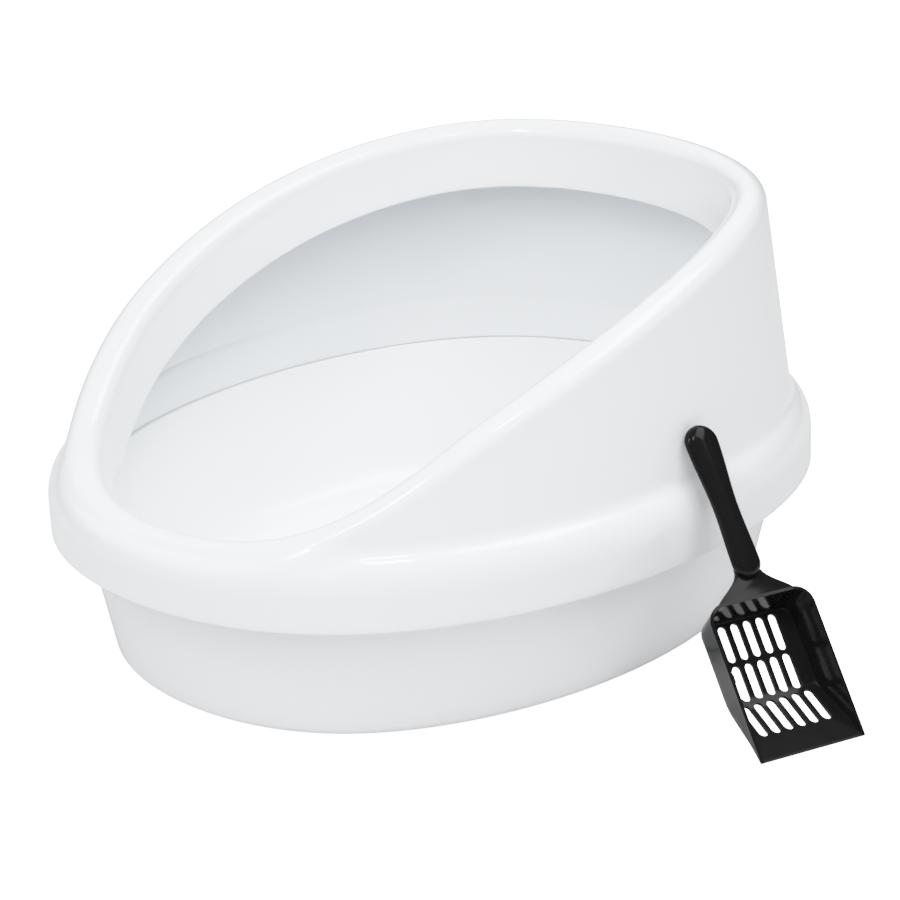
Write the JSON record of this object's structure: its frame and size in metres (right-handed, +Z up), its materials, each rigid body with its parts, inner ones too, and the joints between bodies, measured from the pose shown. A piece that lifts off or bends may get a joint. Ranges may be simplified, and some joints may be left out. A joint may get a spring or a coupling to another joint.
{
  "type": "cat litter box with hood",
  "caption": "Oval open-topped litter pan with a lift-off high-backed hood that stops litter scattering, and a slotted scoop leaning on its side.",
  "frame": {"origin": "centre of the underside of the pan, on the ground", "axes": "+Z up; +Y towards the high back; the low entry faces -Y; the scoop leans on the +X side"},
  "size_m": [0.5976, 0.547, 0.2874],
  "materials": {
    "white_plastic": "glossy injection-moulded white plastic",
    "black_plastic": "high-gloss injection-moulded black plastic"
  },
  "bodies": {
    "pan": {"pan": "white_plastic"},
    "hood": {"hood": "white_plastic"},
    "scoop": {"scoop": "black_plastic"}
  },
  "joints": [
    {"name": "hood_lift", "type": "slide", "parent": "pan", "child": "hood", "axis": [0, 0, 1], "range_m": [0, 0.22]},
    {"name": "scoop_lift", "type": "slide", "parent": "hood", "child": "scoop", "axis": [0.7071, 0, 0.7071], "range_m": [0, 0.2]}
  ]
}
